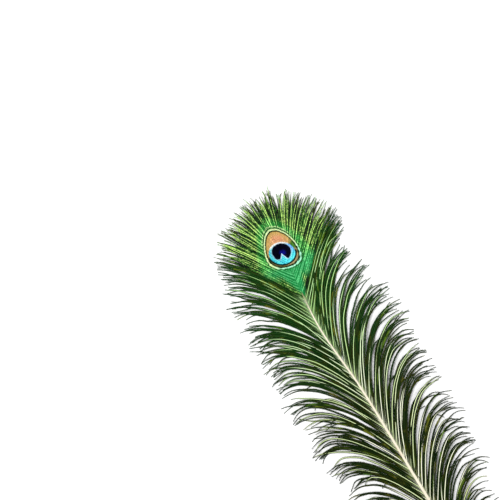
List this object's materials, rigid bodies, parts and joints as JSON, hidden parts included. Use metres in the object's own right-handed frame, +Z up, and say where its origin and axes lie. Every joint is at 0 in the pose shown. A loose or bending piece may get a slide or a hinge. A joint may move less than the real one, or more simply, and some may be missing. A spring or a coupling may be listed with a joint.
{
  "type": "peacock feather",
  "caption": "Peacock tail feather lying face up: ivory shaft, loose green-bronze barbs and a fan with a blue and bronze eye.",
  "frame": {"origin": "bottom centre of the bounding box, on the surface that the feather lies on", "axes": "+Y runs from the quill's end to the fan's tip, +Z is up out of the eye's face, +X is to the right of the eye seen from above"},
  "size_m": [0.167, 0.589, 0.0068],
  "materials": {
    "barbs": "matte",
    "eye_vane": "satin",
    "shaft": "satin"
  },
  "bodies": {
    "root": {"feather": "barbs"}
  },
  "joints": []
}
